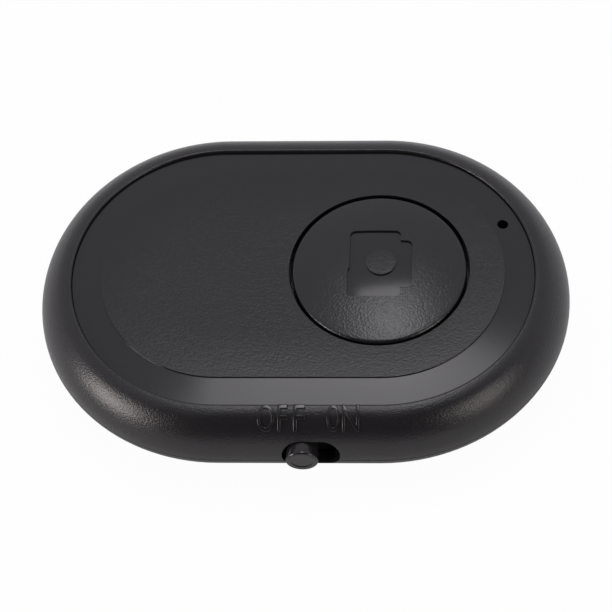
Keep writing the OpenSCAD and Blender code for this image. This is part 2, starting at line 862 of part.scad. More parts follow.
// Lithium disc
module cell_lithium() {
  color("#c9ccd2") cell_disc(cathode_share, 1, separator_t / 2, 0);
}

// Bent strip of thickness t through the given points
module strip(points, t) {
  for (i = [1:len(points) - 1]) {
    step = points[i] - points[i - 1];
    translate(points[i - 1]) rotate([0, 0, atan2(step[1], step[0])]) translate([0, -t / 2]) square([norm(step), t]);
    if (i > 1) translate(points[i - 1]) circle(r = t / 2);
  }
}

// Clips on the board that press on the can's side from front and back
module positive_contact() {
  reach = cell_d / 2 + clip_t / 2 + cell_fit;
  foot_z = board_z - clip_t / 2;
  mid_z = cell_z + cell_t / 2 + clip_t;
  low_z = lug_z + lug_t + clip_t;
  color(gold) for (turn = [90, 270]) translate([cell_x, 0, 0]) rotate([0, 0, turn]) rotate([90, 0, 0])
    linear_extrude(clip_w, center = true)
      strip([[reach + clip_stand + clip_foot, foot_z], [reach + clip_stand, foot_z], [reach + clip_stand, mid_z],
        [reach, (mid_z + low_z) / 2], [reach + clip_stand / 2, low_z]], clip_t);
}

// Spring leaf under the board that presses on the cell's cap
module negative_contact() {
  pad_z = board_z - leaf_t / 2;
  tip_z = cell_z + cell_t + leaf_t / 2 + cell_fit;
  color(gold) translate([cell_x, 0, 0]) rotate([90, 0, 0]) linear_extrude(leaf_w, center = true)
    strip([[-leaf_reach - leaf_tip, tip_z + leaf_t], [-leaf_reach, tip_z], [-leaf_pad, pad_z], [leaf_pad, pad_z],
      [leaf_reach, tip_z], [leaf_reach + leaf_tip, tip_z + leaf_t]], leaf_t);
}

top_shell();
base_shell();
face_plate();
face_tape();
shutter_button();
switch_knob();
battery_door();
circuit_board();
antenna_trace();
radio_chip();
crystal();
capacitors();
resistors();
status_lamp();
board_screws();
push_switch_case();
push_switch_cover();
push_switch_dome();
push_switch_stem();
push_switch_terminals();
slide_switch_can();
slide_switch_base();
slide_switch_slider();
slide_switch_pins();
cell_can();
cell_cap();
cell_gasket();
cell_cathode();
cell_separator();
cell_lithium();
positive_contact();
negative_contact();
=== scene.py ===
import json
import math

import bpy
from mathutils import Matrix, Vector

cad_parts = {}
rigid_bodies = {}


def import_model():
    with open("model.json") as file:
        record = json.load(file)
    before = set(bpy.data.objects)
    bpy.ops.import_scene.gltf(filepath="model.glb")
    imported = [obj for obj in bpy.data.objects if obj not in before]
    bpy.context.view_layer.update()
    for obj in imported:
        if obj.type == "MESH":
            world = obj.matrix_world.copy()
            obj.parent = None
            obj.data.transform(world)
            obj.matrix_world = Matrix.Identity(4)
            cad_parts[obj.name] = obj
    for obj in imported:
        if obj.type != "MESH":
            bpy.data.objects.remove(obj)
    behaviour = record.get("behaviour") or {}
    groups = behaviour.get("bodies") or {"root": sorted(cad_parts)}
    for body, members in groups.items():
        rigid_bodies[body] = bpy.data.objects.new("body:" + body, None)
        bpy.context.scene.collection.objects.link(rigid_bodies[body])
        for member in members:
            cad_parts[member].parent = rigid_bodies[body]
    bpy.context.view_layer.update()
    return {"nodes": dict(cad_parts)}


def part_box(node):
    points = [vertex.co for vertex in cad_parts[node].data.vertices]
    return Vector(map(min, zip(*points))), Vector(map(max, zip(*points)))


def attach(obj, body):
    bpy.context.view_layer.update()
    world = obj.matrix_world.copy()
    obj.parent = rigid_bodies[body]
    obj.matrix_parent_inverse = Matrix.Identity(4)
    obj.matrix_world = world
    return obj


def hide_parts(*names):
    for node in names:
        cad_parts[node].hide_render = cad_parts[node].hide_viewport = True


for leftover in list(bpy.data.objects):
    bpy.data.objects.remove(leftover)
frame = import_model()


# Base shell: the lower half of the housing, one moulding of black ABS with a very fine satin
# grain. Its section is drawn once and carried round the oval. The tongue on top goes inside
# the lip of the top shell, and the bayonet hole for the cell cover is cut through the floor.
mm = 0.001
base_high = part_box("base_shell")[1]
end_r = base_high[1]
run = base_high[0] - base_high[1]
widest_z = 5.4 * mm
wall = 1.3 * mm
turn_r = 1.8 * mm
foot_r = 2.0 * mm
base_slope = math.radians(35)
seam_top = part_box("top_shell")[0][2]
seam_line = 0.05 * mm
base_top = seam_top - seam_line
tongue_step = 0.1 * mm
tongue_t = 0.5 * mm
tongue_in = end_r - wall + tongue_step
tongue_out = tongue_in + tongue_t
tongue_top = base_high[2]
turn_c = end_r - turn_r
foot_c = (turn_c + (turn_r - foot_r) * math.cos(base_slope)
          - (widest_z - foot_r - (turn_r - foot_r) * math.sin(base_slope)) * math.tan(base_slope))
edge = 0.06 * mm
end_steps = 60
full_turn = 2 * math.pi


def begin_section(name, r, z):
    """A new piece, whose section starts as one vertex r out from the oval's centre line."""
    bpy.ops.object.select_all(action="DESELECT")
    bpy.ops.mesh.primitive_plane_add(size=mm)
    bpy.context.object.name = name
    bpy.context.object.data.name = name
    bpy.ops.object.mode_set(mode="EDIT")
    bpy.ops.mesh.select_mode(type="VERT")
    bpy.ops.mesh.merge(type="CENTER")
    bpy.ops.transform.translate(value=(run + r, 0, z))
    return [r, z]


def line_to(at, r, z):
    bpy.ops.mesh.extrude_vertices_move(TRANSFORM_OT_translate={"value": (r - at[0], 0, z - at[1])})
    at[:] = [r, z]


def arc_round(at, centre_r, centre_z, angle, steps):
    """Carries the section on round a centre, from +X towards +Z where the angle is positive."""
    bpy.ops.mesh.spin(steps=steps, angle=angle, center=(run + centre_r, 0, centre_z), axis=(0, 1, 0))
    r, z = at[0] - centre_r, at[1] - centre_z
    at[:] = [centre_r + r * math.cos(angle) - z * math.sin(angle),
             centre_z + r * math.sin(angle) + z * math.cos(angle)]


def merge_and_face_out():
    bpy.ops.mesh.select_all(action="SELECT")
    bpy.ops.mesh.remove_doubles(threshold=0.001 * mm)
    bpy.ops.mesh.dissolve_degenerate(threshold=0.0005 * mm)
    bpy.ops.mesh.normals_make_consistent(inside=False)
    bpy.ops.object.mode_set(mode="OBJECT")
    return bpy.context.object


def carry_round_oval():
    """Spins the section round both ends and draws it along both straights."""
    legs = ((run, math.pi / 2, -2 * run), (-run, math.pi, 2 * run), (run, math.pi / 2, 0))
    bpy.ops.mesh.select_all(action="SELECT")
    for centre_x, angle, shift in legs:
        bpy.ops.mesh.spin(steps=round(end_steps * angle / math.pi), angle=angle, center=(centre_x, 0, 0),
                          axis=(0, 0, 1))
        if shift:
            bpy.ops.mesh.extrude_region_move(TRANSFORM_OT_translate={"value": (shift, 0, 0)})
    return merge_and_face_out()


def carry_round_axis(centre, steps):
    """Spins the section a full turn about an upright axis, then puts that axis at a centre."""
    bpy.ops.mesh.select_all(action="SELECT")
    bpy.ops.mesh.spin(steps=steps, angle=full_turn, center=(run, 0, 0), axis=(0, 0, 1))
    bpy.ops.mesh.select_all(action="SELECT")
    bpy.ops.transform.translate(value=(centre[0] - run, centre[1], 0))
    return merge_and_face_out()


def round_bar(name, centre, r, bottom, top, steps=96):
    """An upright round bar. It serves as a post, or as the cutter for a hole."""
    bpy.ops.object.select_all(action="DESELECT")
    bpy.ops.mesh.primitive_cylinder_add(vertices=steps, radius=r, depth=top - bottom,
                                        location=(centre[0], centre[1], (top + bottom) / 2))
    bpy.context.object.name = name
    bpy.ops.object.transform_apply(location=True, rotation=True, scale=True)
    return bpy.context.object


def block(name, lowest, highest):
    bpy.ops.object.select_all(action="DESELECT")
    middle = [(a + b) / 2 for a, b in zip(lowest, highest)]
    lengths = [b - a for a, b in zip(lowest, highest)]
    bpy.ops.mesh.primitive_cube_add(size=1, location=middle, scale=lengths)
    bpy.context.object.name = name
    bpy.ops.object.transform_apply(location=True, rotation=True, scale=True)
    return bpy.context.object


def combine(piece, other, operation):
    """Cuts another solid out of a piece, joins it on, or keeps only what both share."""
    bpy.ops.object.select_all(action="DESELECT")
    bpy.context.view_layer.objects.active = piece
    piece.select_set(True)
    step = piece.modifiers.new("combine", "BOOLEAN")
    step.operation = operation
    step.object = other
    step.solver = "EXACT"
    bpy.ops.object.modifier_apply(modifier=step.name)
    bpy.data.objects.remove(other)


def choose(piece, kind, test):
    """Goes into edit mode with only those vertices, edges or faces selected that pass a test."""
    bpy.ops.object.select_all(action="DESELECT")
    bpy.context.view_layer.objects.active = piece
    piece.select_set(True)
    bpy.ops.object.mode_set(mode="EDIT")
    bpy.ops.mesh.select_mode(type=kind)
    bpy.ops.mesh.select_all(action="DESELECT")
    bpy.ops.object.mode_set(mode="OBJECT")
    parts = {"VERT": piece.data.vertices, "EDGE": piece.data.edges, "FACE": piece.data.polygons}[kind]
    for part in parts:
        part.select = test(part)
    bpy.ops.object.mode_set(mode="EDIT")


def soften(piece, width, corner=35, segments=2):
    """Rounds the sharp edges of a finished piece, smooths the rest and keeps flat faces flat."""
    bpy.ops.object.select_all(action="DESELECT")
    bpy.context.view_layer.objects.active = piece
    piece.select_set(True)
    if width:
        step = piece.modifiers.new("soften", "BEVEL")
        step.width = width
        step.segments = segments
        step.limit_method = "ANGLE"
        step.angle_limit = math.radians(corner)
        step.use_clamp_overlap = True
        step.face_strength_mode = "FSTR_ALL"
        bpy.ops.object.modifier_apply(modifier=step.name)
    bpy.ops.object.shade_smooth_by_angle(angle=math.radians(corner))
    step = piece.modifiers.new("even shading", "WEIGHTED_NORMAL")
    step.mode = "CORNER_ANGLE"
    step.use_face_influence = True
    step.keep_sharp = True
    bpy.ops.object.modifier_apply(modifier=step.name)


def moulded_plastic(name, colour, roughness, grain, depth, polish_spread=0.04):
    """Moulded plastic: fine grain from the mould, and slight uneven gloss from handling."""
    patch_w = 9 * mm
    darker = 0.85
    lighter = 1.15
    material = bpy.data.materials.new(name)
    material.use_nodes = True
    nodes, links = material.node_tree.nodes, material.node_tree.links
    shader = nodes["Principled BSDF"]
    shader.inputs["IOR"].default_value = 1.5
    place = nodes.new("ShaderNodeTexCoord")
    fine = nodes.new("ShaderNodeTexNoise")
    fine.inputs["Scale"].default_value = 1 / grain
    fine.inputs["Detail"].default_value = 3
    links.new(place.outputs["Object"], fine.inputs["Vector"])
    broad = nodes.new("ShaderNodeTexNoise")
    broad.inputs["Scale"].default_value = 1 / patch_w
    broad.inputs["Detail"].default_value = 4
    links.new(place.outputs["Object"], broad.inputs["Vector"])
    gloss = nodes.new("ShaderNodeMapRange")
    gloss.inputs["To Min"].default_value = roughness - polish_spread
    gloss.inputs["To Max"].default_value = roughness + polish_spread
    links.new(broad.outputs["Fac"], gloss.inputs["Value"])
    links.new(gloss.outputs["Result"], shader.inputs["Roughness"])
    tint = nodes.new("ShaderNodeMix")
    tint.data_type = "RGBA"
    tint.inputs["A"].default_value = (*[darker * c for c in colour], 1)
    tint.inputs["B"].default_value = (*[lighter * c for c in colour], 1)
    links.new(fine.outputs["Fac"], tint.inputs["Factor"])
    links.new(tint.outputs["Result"], shader.inputs["Base Color"])
    bump = nodes.new("ShaderNodeBump")
    bump.inputs["Strength"].default_value = 1
    bump.inputs["Distance"].default_value = depth
    links.new(fine.outputs["Fac"], bump.inputs["Height"])
    links.new(bump.outputs["Normal"], shader.inputs["Normal"])
    return material


at = begin_section("base_moulding", 0, 0)
line_to(at, foot_c, 0)
arc_round(at, foot_c, foot_r, math.pi / 2 - base_slope, steps=12)
line_to(at, turn_c + turn_r * math.cos(base_slope), widest_z - turn_r * math.sin(base_slope))
lip_a = math.asin((base_top - widest_z) / turn_r)
arc_round(at, turn_c, widest_z, base_slope + lip_a, steps=8)
line_to(at, tongue_out, base_top)
line_to(at, tongue_out, tongue_top)
line_to(at, tongue_in, tongue_top)
line_to(at, tongue_in, base_top)
inner_turn_r = turn_r - wall
inner_a = math.asin((base_top - widest_z) / inner_turn_r)
line_to(at, turn_c + inner_turn_r * math.cos(inner_a), base_top)
arc_round(at, turn_c, widest_z, -base_slope - inner_a, steps=4)
inner_foot_r = foot_r - wall
line_to(at, foot_c + inner_foot_r * math.cos(base_slope), foot_r - inner_foot_r * math.sin(base_slope))
arc_round(at, foot_c, foot_r, base_slope - math.pi / 2, steps=6)
line_to(at, 0, wall)
base = carry_round_oval()

door_low, door_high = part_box("battery_door")
cell_x = (door_low[0] + door_high[0]) / 2
cell = (cell_x, 0)
door_r = (door_high[1] - door_low[1]) / 2
door_gap = 0.15 * mm
door_play = 0.05 * mm
door_flange_t = wall / 2 - door_play
lug_in = 0.6 * mm
lug_l = 0.75 * mm
lug_r = door_r - lug_in
door_hole_r = lug_r - lug_l
over = 0.5 * mm
catches = 3
gate_turn = math.radians(40)
gate_half = math.radians(11)
stop_turns = (math.radians(12.4), math.radians(-54))
stop_half = math.radians(2.5)
stop_top = 1.9 * mm


def ring_piece(name, centre, outer_r, inner_r, bottom, top, middle, half):
    """Part of an upright ring, within half an angle either side of a direction."""
    begin_section(name, inner_r, bottom)
    bpy.ops.mesh.extrude_vertices_move(TRANSFORM_OT_translate={"value": (outer_r - inner_r, 0, 0)})
    bpy.ops.mesh.select_all(action="SELECT")
    bpy.ops.mesh.extrude_edges_move(TRANSFORM_OT_translate={"value": (0, 0, top - bottom)})
    bpy.ops.mesh.select_all(action="SELECT")
    bpy.ops.mesh.spin(steps=12, angle=2 * half, center=(run, 0, 0), axis=(0, 0, -1))
    bpy.ops.mesh.select_all(action="SELECT")
    bpy.ops.transform.translate(value=(-run, 0, 0))
    piece = merge_and_face_out()
    piece.rotation_euler[2] = middle - half
    piece.location = (*centre, 0)
    bpy.ops.object.transform_apply(location=True, rotation=True, scale=True)
    return piece


combine(base, round_bar("counterbore", cell, door_r + door_gap, -over, wall / 2), "DIFFERENCE")
combine(base, round_bar("passage", cell, door_hole_r, -over, wall + over), "DIFFERENCE")
for i in range(catches):
    gate = ring_piece("gate", cell, lug_r + door_gap, door_hole_r / 2, -over, wall + over,
                      i * full_turn / catches - gate_turn, gate_half)
    combine(base, gate, "DIFFERENCE")
well_gap = 0.2 * mm
well_r = lug_r + well_gap
well_t = 0.8 * mm
board_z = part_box("circuit_board")[0][2]
sunk_share = 0.75
inside_floor = sunk_share * wall
well = round_bar("well", cell, well_r + well_t, inside_floor, board_z)
combine(well, round_bar("well_bore", cell, well_r, -over, board_z + over), "DIFFERENCE")
combine(base, well, "UNION")
for i in range(catches):
    for stop_turn in stop_turns:
        stop = ring_piece("stop", cell, well_r + well_t / 2, door_hole_r + door_gap, inside_floor,
                          stop_top, i * full_turn / catches + stop_turn, stop_half)
        combine(base, stop, "UNION")
board_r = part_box("circuit_board")[1][1]
rest_shares = (0.48, 0.6)
rest_r = 1.2 * mm
for side in -1, 1:
    rest = (run + rest_shares[0] * board_r, side * rest_shares[1] * board_r)
    combine(base, round_bar("rest", rest, rest_r, inside_floor, board_z, steps=32), "UNION")


# The obround slot for the power knob lies across the seam, so it is cut through both shells,
# with a pocket behind it where the knob's flat guide plate slides.
knob_low, knob_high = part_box("switch_knob")
can_low, can_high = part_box("slide_switch_can")
switch_z = (knob_low[2] + knob_high[2]) / 2
slot_x = (can_low[0] + can_high[0]) / 2
slot_l = 5.35 * mm
slot_h = 3.2 * mm
pocket_skin = 0.3 * mm
pocket_t = 1.1 * mm
pocket_y = -tongue_in + pocket_skin
guide_h = knob_high[2] - knob_low[2]
pocket_half = 4.7 * mm
play = 0.1 * mm
half_facet = math.radians(2.5)


def obround_cutter(length, height, from_y, to_y):
    """A bar along Y with an obround section, made from a cylinder drawn out along X."""
    bpy.ops.object.select_all(action="DESELECT")
    bpy.ops.mesh.primitive_cylinder_add(vertices=72, radius=height / 2, depth=to_y - from_y,
                                        location=(slot_x, (from_y + to_y) / 2, switch_z),
                                        rotation=(math.pi / 2, half_facet, 0))
    cutter = bpy.context.object
    bpy.ops.object.transform_apply(location=True, rotation=True, scale=True)
    for side in -1, 1:
        choose(cutter, "VERT", lambda vertex: (vertex.co.x - slot_x) * side > 0)
        bpy.ops.transform.translate(value=(side * (length - height) / 2, 0, 0))
        bpy.ops.object.mode_set(mode="OBJECT")
    return cutter


def open_slot(shell):
    slot = obround_cutter(slot_l, slot_h, -end_r - over, -tongue_in + wall)
    combine(shell, slot, "DIFFERENCE")
    pocket = block("pocket", (slot_x - pocket_half, pocket_y, switch_z - guide_h / 2 - play),
                   (slot_x + pocket_half, pocket_y + pocket_t, switch_z + guide_h / 2 + play))
    combine(shell, pocket, "DIFFERENCE")


open_slot(base)
soften(base, edge)
shell_black = (0.0122, 0.0113, 0.0125)
shell_plastic = moulded_plastic("shell plastic", shell_black, roughness=0.28,
                                grain=0.17 * mm, depth=0.032 * mm)
base.data.materials.append(shell_plastic)
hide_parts("base_shell")
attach(base, "housing")


# Battery cover: a flush disc turned with a coin. Its ring stands round the cell, and three
# catches on it turn in over the ledge of the base. Moulded in the same black plastic.
door_t = 1.0 * mm
cell_gap = 0.2 * mm
ring_r = door_hole_r - door_gap
ring_inner_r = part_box("cell_can")[1][1] + cell_gap
catch_in = ring_inner_r + (ring_r - ring_inner_r) / 2
catch_z = wall + door_play
catch_half = math.radians(9)
coin_l = 13 * mm
coin_w = 1.8 * mm
mark_r = 0.45 * mm
mark_deep = 0.2 * mm
at = begin_section("battery_cover", 0, 0)
line_to(at, door_r - edge, 0)
arc_round(at, door_r - edge, edge, math.pi / 2, steps=4)
line_to(at, door_r, door_flange_t)
line_to(at, ring_r, door_flange_t)
line_to(at, ring_r, door_high[2])
line_to(at, ring_inner_r, door_high[2])
line_to(at, ring_inner_r, door_t)
line_to(at, 0, door_t)
door = carry_round_axis(cell, steps=144)
for i in range(catches):
    catch = ring_piece("catch", cell, lug_r, catch_in, catch_z, door_high[2],
                       i * full_turn / catches, catch_half)
    combine(door, catch, "UNION")
coin_slot = block("coin_slot", (cell_x - coin_w / 2, -(coin_l - coin_w) / 2, -over),
                  (cell_x + coin_w / 2, (coin_l - coin_w) / 2, door_t / 2))
for side in -1, 1:
    slot_end = (cell_x, side * (coin_l - coin_w) / 2)
    combine(coin_slot, round_bar("slot_end", slot_end, coin_w / 2, -over, door_t / 2, steps=32), "UNION")
combine(door, coin_slot, "DIFFERENCE")
mark = (cell_x + ring_r, 0)
combine(door, round_bar("mark", mark, mark_r, -over, mark_deep, steps=32), "DIFFERENCE")
soften(door, edge)
door.data.materials.append(shell_plastic)
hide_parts("battery_door")
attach(door, "battery_cover")


# Coin cell: a nickel-plated steel can crimped over a sealing ring and an upper cap, with the
# pressed cathode, separator and lithium disc sealed inside. Brushed metal and plain fillings.
def worked_metal(name, colour, roughness):
    """Plated or rolled metal, with fine marks drawn out along one direction."""
    mark_w = 0.1 * mm
    mark_l = 2 * mm
    brighter = 0.08
    duller = 0.12
    material = bpy.data.materials.new(name)
    material.use_nodes = True
    nodes, links = material.node_tree.nodes, material.node_tree.links
    shader = nodes["Principled BSDF"]
    shader.inputs["Metallic"].default_value = 1
    shader.inputs["Base Color"].default_value = (*colour, 1)
    place = nodes.new("ShaderNodeTexCoord")
    drawn = nodes.new("ShaderNodeMapping")
    drawn.inputs["Scale"].default_value = (1 / mark_w, 1 / mark_w, 1 / mark_l)
    marks = nodes.new("ShaderNodeTexNoise")
    marks.inputs["Scale"].default_value = 1
    marks.inputs["Detail"].default_value = 4
    gloss = nodes.new("ShaderNodeMapRange")
    gloss.inputs["To Min"].default_value = roughness - brighter
    gloss.inputs["To Max"].default_value = roughness + duller
    bump = nodes.new("ShaderNodeBump")
    bump.inputs["Distance"].default_value = 0.002 * mm
    links.new(place.outputs["Object"], drawn.inputs["Vector"])
    links.new(drawn.outputs["Vector"], marks.inputs["Vector"])
    links.new(marks.outputs["Fac"], gloss.inputs["Value"])
    links.new(gloss.outputs["Result"], shader.inputs["Roughness"])
    links.new(marks.outputs["Fac"], bump.inputs["Height"])
    links.new(bump.outputs["Normal"], shader.inputs["Normal"])
    return material


def finish_nodes(material, *names):
    """Gives CAD nodes, whose shapes are right as they are, their finish."""
    for name in names:
        for slot in frame["nodes"][name].material_slots:
            slot.material = material


nickel = worked_metal("nickel plate", (0.66, 0.65, 0.63), roughness=0.28)
finish_nodes(nickel, "cell_can", "cell_cap")
sealing_ring = moulded_plastic("sealing ring", (0.66, 0.66, 0.62), roughness=0.5,
                               grain=0.3 * mm, depth=0.003 * mm)
finish_nodes(sealing_ring, "cell_gasket")
pressed_oxide = moulded_plastic("pressed oxide", (0.025, 0.025, 0.027), roughness=0.85,
                                grain=0.15 * mm, depth=0.03 * mm)
finish_nodes(pressed_oxide, "cell_cathode")
felted_sheet = moulded_plastic("felted sheet", (0.78, 0.78, 0.76), roughness=0.9,
                               grain=0.08 * mm, depth=0.02 * mm)
finish_nodes(felted_sheet, "cell_separator")
finish_nodes(worked_metal("lithium", (0.52, 0.53, 0.56), roughness=0.5), "cell_lithium")


# Spring contacts: strips of gold-flashed bronze bent to shape and soldered under the board. The
# clips press on the can's side and the leaf presses on the cap.
gold_flash = worked_metal("gold flash", (0.86, 0.62, 0.26), roughness=0.25)
finish_nodes(gold_flash, "positive_contact", "negative_contact")


# Circuit board: glass-epoxy under green solder mask, with a printed antenna, a radio chip, its
# crystal and small parts soldered on top, and two steel screws into the posts of the top shell.
def solder_mask():
    """Green lacquer over woven glass, which shows through as a faint square weave."""
    weave_w = 3 * mm
    material = bpy.data.materials.new("solder mask")
    material.use_nodes = True
    nodes, links = material.node_tree.nodes, material.node_tree.links
    shader = nodes["Principled BSDF"]
    shader.inputs["Roughness"].default_value = 0.32
    shader.inputs["Coat Weight"].default_value = 0.4
    place = nodes.new("ShaderNodeTexCoord")
    weave = []
    for direction in "X", "Y":
        wave = nodes.new("ShaderNodeTexWave")
        wave.bands_direction = direction
        wave.inputs["Scale"].default_value = 1 / weave_w
        wave.inputs["Distortion"].default_value = 0.6
        links.new(place.outputs["Object"], wave.inputs["Vector"])
        weave.append(wave)
    crossed = nodes.new("ShaderNodeMath")
    crossed.operation = "MULTIPLY"
    links.new(weave[0].outputs["Fac"], crossed.inputs[0])
    links.new(weave[1].outputs["Fac"], crossed.inputs[1])
    tint = nodes.new("ShaderNodeMix")
    tint.data_type = "RGBA"
    tint.inputs["A"].default_value = (0.012, 0.085, 0.038, 1)
    tint.inputs["B"].default_value = (0.020, 0.130, 0.060, 1)
    links.new(crossed.outputs["Value"], tint.inputs["Factor"])
    links.new(tint.outputs["Result"], shader.inputs["Base Color"])
    bump = nodes.new("ShaderNodeBump")
    bump.inputs["Distance"].default_value = 0.005 * mm
    links.new(crossed.outputs["Value"], bump.inputs["Height"])
    links.new(bump.outputs["Normal"], shader.inputs["Normal"])
    return material


finish_nodes(solder_mask(), "circuit_board")
finish_nodes(gold_flash, "antenna_trace")
chip_epoxy = moulded_plastic("moulded epoxy", (0.014, 0.014, 0.015), roughness=0.55,
                             grain=0.07 * mm, depth=0.004 * mm)
finish_nodes(chip_epoxy, "radio_chip", "resistors")
fired_ceramic = moulded_plastic("fired ceramic", (0.36, 0.25, 0.15), roughness=0.45,
                                grain=0.05 * mm, depth=0.002 * mm)
finish_nodes(fired_ceramic, "capacitors")
finish_nodes(nickel, "crystal", "board_screws")
lamp_resin = moulded_plastic("clear lamp resin", (0.80, 0.78, 0.66), roughness=0.18,
                             grain=0.4 * mm, depth=0.001 * mm)
finish_nodes(lamp_resin, "status_lamp")


# Push switch under the button: a moulded case, a thin steel cover and snap dome, four soldered
# terminals and a red nylon stem that follows the button down.
finish_nodes(chip_epoxy, "push_switch_case")
finish_nodes(nickel, "push_switch_cover", "push_switch_dome", "push_switch_terminals")
red_nylon = moulded_plastic("red nylon", (0.26, 0.035, 0.030), roughness=0.42,
                            grain=0.1 * mm, depth=0.002 * mm)
finish_nodes(red_nylon, "push_switch_stem")


# Slide switch behind the slot: a folded steel can on a moulded base, with soldered pins and an
# ivory acetal slider whose tab sits in the fork of the power knob.
finish_nodes(nickel, "slide_switch_can", "slide_switch_pins")
finish_nodes(chip_epoxy, "slide_switch_base")
ivory_acetal = moulded_plastic("ivory acetal", (0.74, 0.71, 0.62), roughness=0.4,
                               grain=0.1 * mm, depth=0.002 * mm)
finish_nodes(ivory_acetal, "slide_switch_slider")


# Top shell: rim with its tall rounded side, the recess that the face plate is taped into, and
# the deck, with the button's guide and key, the screw posts and the lamp's shroud moulded under
# it. Same plastic as the base.
body_t = 10.0 * mm
side_share = 1.12
side_r = side_share * (body_t - widest_z)
shoulder_r = 2.7 * mm
rim_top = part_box("top_shell")[1][2]
shoulder_a = math.asin((rim_top - widest_z - shoulder_r) / (side_r - shoulder_r))
side_c = end_r - side_r
shoulder_c = side_c + (side_r - shoulder_r) * math.cos(shoulder_a)
plate_low, plate_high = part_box("face_plate")
plate_gap = 0.05 * mm
face_r = plate_high[1] + plate_gap
recess_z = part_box("face_tape")[0][2]
deck_t = 1.1 * mm
deck_z = recess_z - deck_t
recess_wall = 0.7 * mm
hollow_rise = 0.5 * mm
hollow_r = face_r + recess_wall
hollow_z = deck_z + hollow_rise
tongue_gap = 0.08 * mm
lip_top = tongue_top + tongue_gap
lip_in = tongue_out + tongue_gap
rim_edge = 0.2 * mm
rim_edge_c = face_r + rim_edge
rim_edge_rise = math.sqrt((shoulder_r - rim_edge) ** 2 - (rim_edge_c - shoulder_c) ** 2)
rim_edge_z = rim_top - shoulder_r + rim_edge_rise
rim_edge_a = math.acos((rim_edge_c - shoulder_c) / (shoulder_r - rim_edge))


def rim_arcs(at, grown, bottom_z):
    """The outside of the top shell in section: over the shoulder and down the side."""
    start = math.atan2(at[1] - (rim_top - shoulder_r), at[0] - shoulder_c)
    arc_round(at, shoulder_c, rim_top - shoulder_r, shoulder_a - start, steps=16)
    bottom_a = math.asin((bottom_z - widest_z) / (side_r + grown))
    arc_round(at, side_c, widest_z, bottom_a - shoulder_a, steps=20)


at = begin_section("top_moulding", 0, recess_z)
line_to(at, face_r, recess_z)
line_to(at, face_r, rim_edge_z)
arc_round(at, rim_edge_c, rim_edge_z, rim_edge_a - math.pi, steps=8)
rim_arcs(at, 0, seam_top)
line_to(at, lip_in, seam_top)
line_to(at, lip_in, lip_top)
inner_r = side_r - wall
line_to(at, side_c + math.sqrt(inner_r ** 2 - (lip_top - widest_z) ** 2), lip_top)
inner_low_a = math.asin((lip_top - widest_z) / inner_r)
inner_high_a = math.asin((hollow_z - widest_z) / inner_r)
arc_round(at, side_c, widest_z, inner_high_a - inner_low_a, steps=10)
line_to(at, hollow_r, hollow_z)
line_to(at, hollow_r, deck_z)
line_to(at, 0, deck_z)
top = carry_round_oval()

button_low, button_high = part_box("shutter_button")
flange_r = (button_high[1] - button_low[1]) / 2
button_c = (button_high[0] - flange_r, (button_high[1] + button_low[1]) / 2)
button_r = 8.15 * mm
button_gap = 0.3 * mm
button_hole_r = button_r + button_gap
lamp_low, lamp_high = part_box("status_lamp")
lamp_c = ((lamp_low[0] + lamp_high[0]) / 2, (lamp_low[1] + lamp_high[1]) / 2)
lamp_hole_r = 0.52 * mm
board_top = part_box("circuit_board")[1][2]
guide_gap = 0.2 * mm
guide_t = 0.7 * mm
guide_drop = 0.95 * mm
guide_r = flange_r + guide_gap
guide_z = deck_z - guide_drop
deck_middle = (recess_z + deck_z) / 2
guide = round_bar("guide", button_c, guide_r + guide_t, guide_z, deck_middle)
guide_bore = round_bar("guide_bore", button_c, guide_r, guide_z - over, deck_middle + over)
combine(guide, guide_bore, "DIFFERENCE")
combine(top, guide, "UNION")
key_half = 0.9 * mm
key_l = 0.85 * mm
key = block("key", (button_c[0] - guide_r - guide_t / 2, button_c[1] - key_half, guide_z),
            (button_c[0] - guide_r + key_l, button_c[1] + key_half, deck_middle))
combine(top, key, "UNION")
screw_head_r = 1.2 * mm
screw_hole_r = 0.62 * mm
screw_hole_l = 2.2 * mm
post_r = 1.6 * mm
screw_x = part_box("board_screws")[1][0] - screw_head_r
for side in -1, 1:
    post_c = (side * screw_x, 0)
    combine(top, round_bar("post", post_c, post_r, board_top, deck_middle, steps=48), "UNION")
    screw_hole = round_bar("screw_hole", post_c, screw_hole_r, board_top - over,
                           board_top + screw_hole_l, steps=32)
    combine(top, screw_hole, "DIFFERENCE")
shroud_gap = 0.2 * mm
shroud_t = 0.75 * mm
shroud_z = lamp_high[2] + shroud_gap
shroud = round_bar("shroud", lamp_c, lamp_hole_r + shroud_t, shroud_z, deck_middle, steps=48)
combine(top, shroud, "UNION")
combine(top, round_bar("lamp_hole", lamp_c, lamp_hole_r, board_top, rim_top, steps=48), "DIFFERENCE")
button_hole = round_bar("button_hole", button_c, button_hole_r, deck_z - over, rim_top, steps=144)
combine(top, button_hole, "DIFFERENCE")
open_slot(top)
soften(top, edge)
top.data.materials.append(shell_plastic)
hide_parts("top_shell")
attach(top, "housing")


# Face tape: white double-sided foam tape that holds the face plate down in its recess. It is
# cut out round the button and over the lamp.
foam_tape = moulded_plastic("foam tape", (0.78, 0.78, 0.76), roughness=0.8,
                            grain=0.1 * mm, depth=0.01 * mm)
finish_nodes(foam_tape, "face_tape")


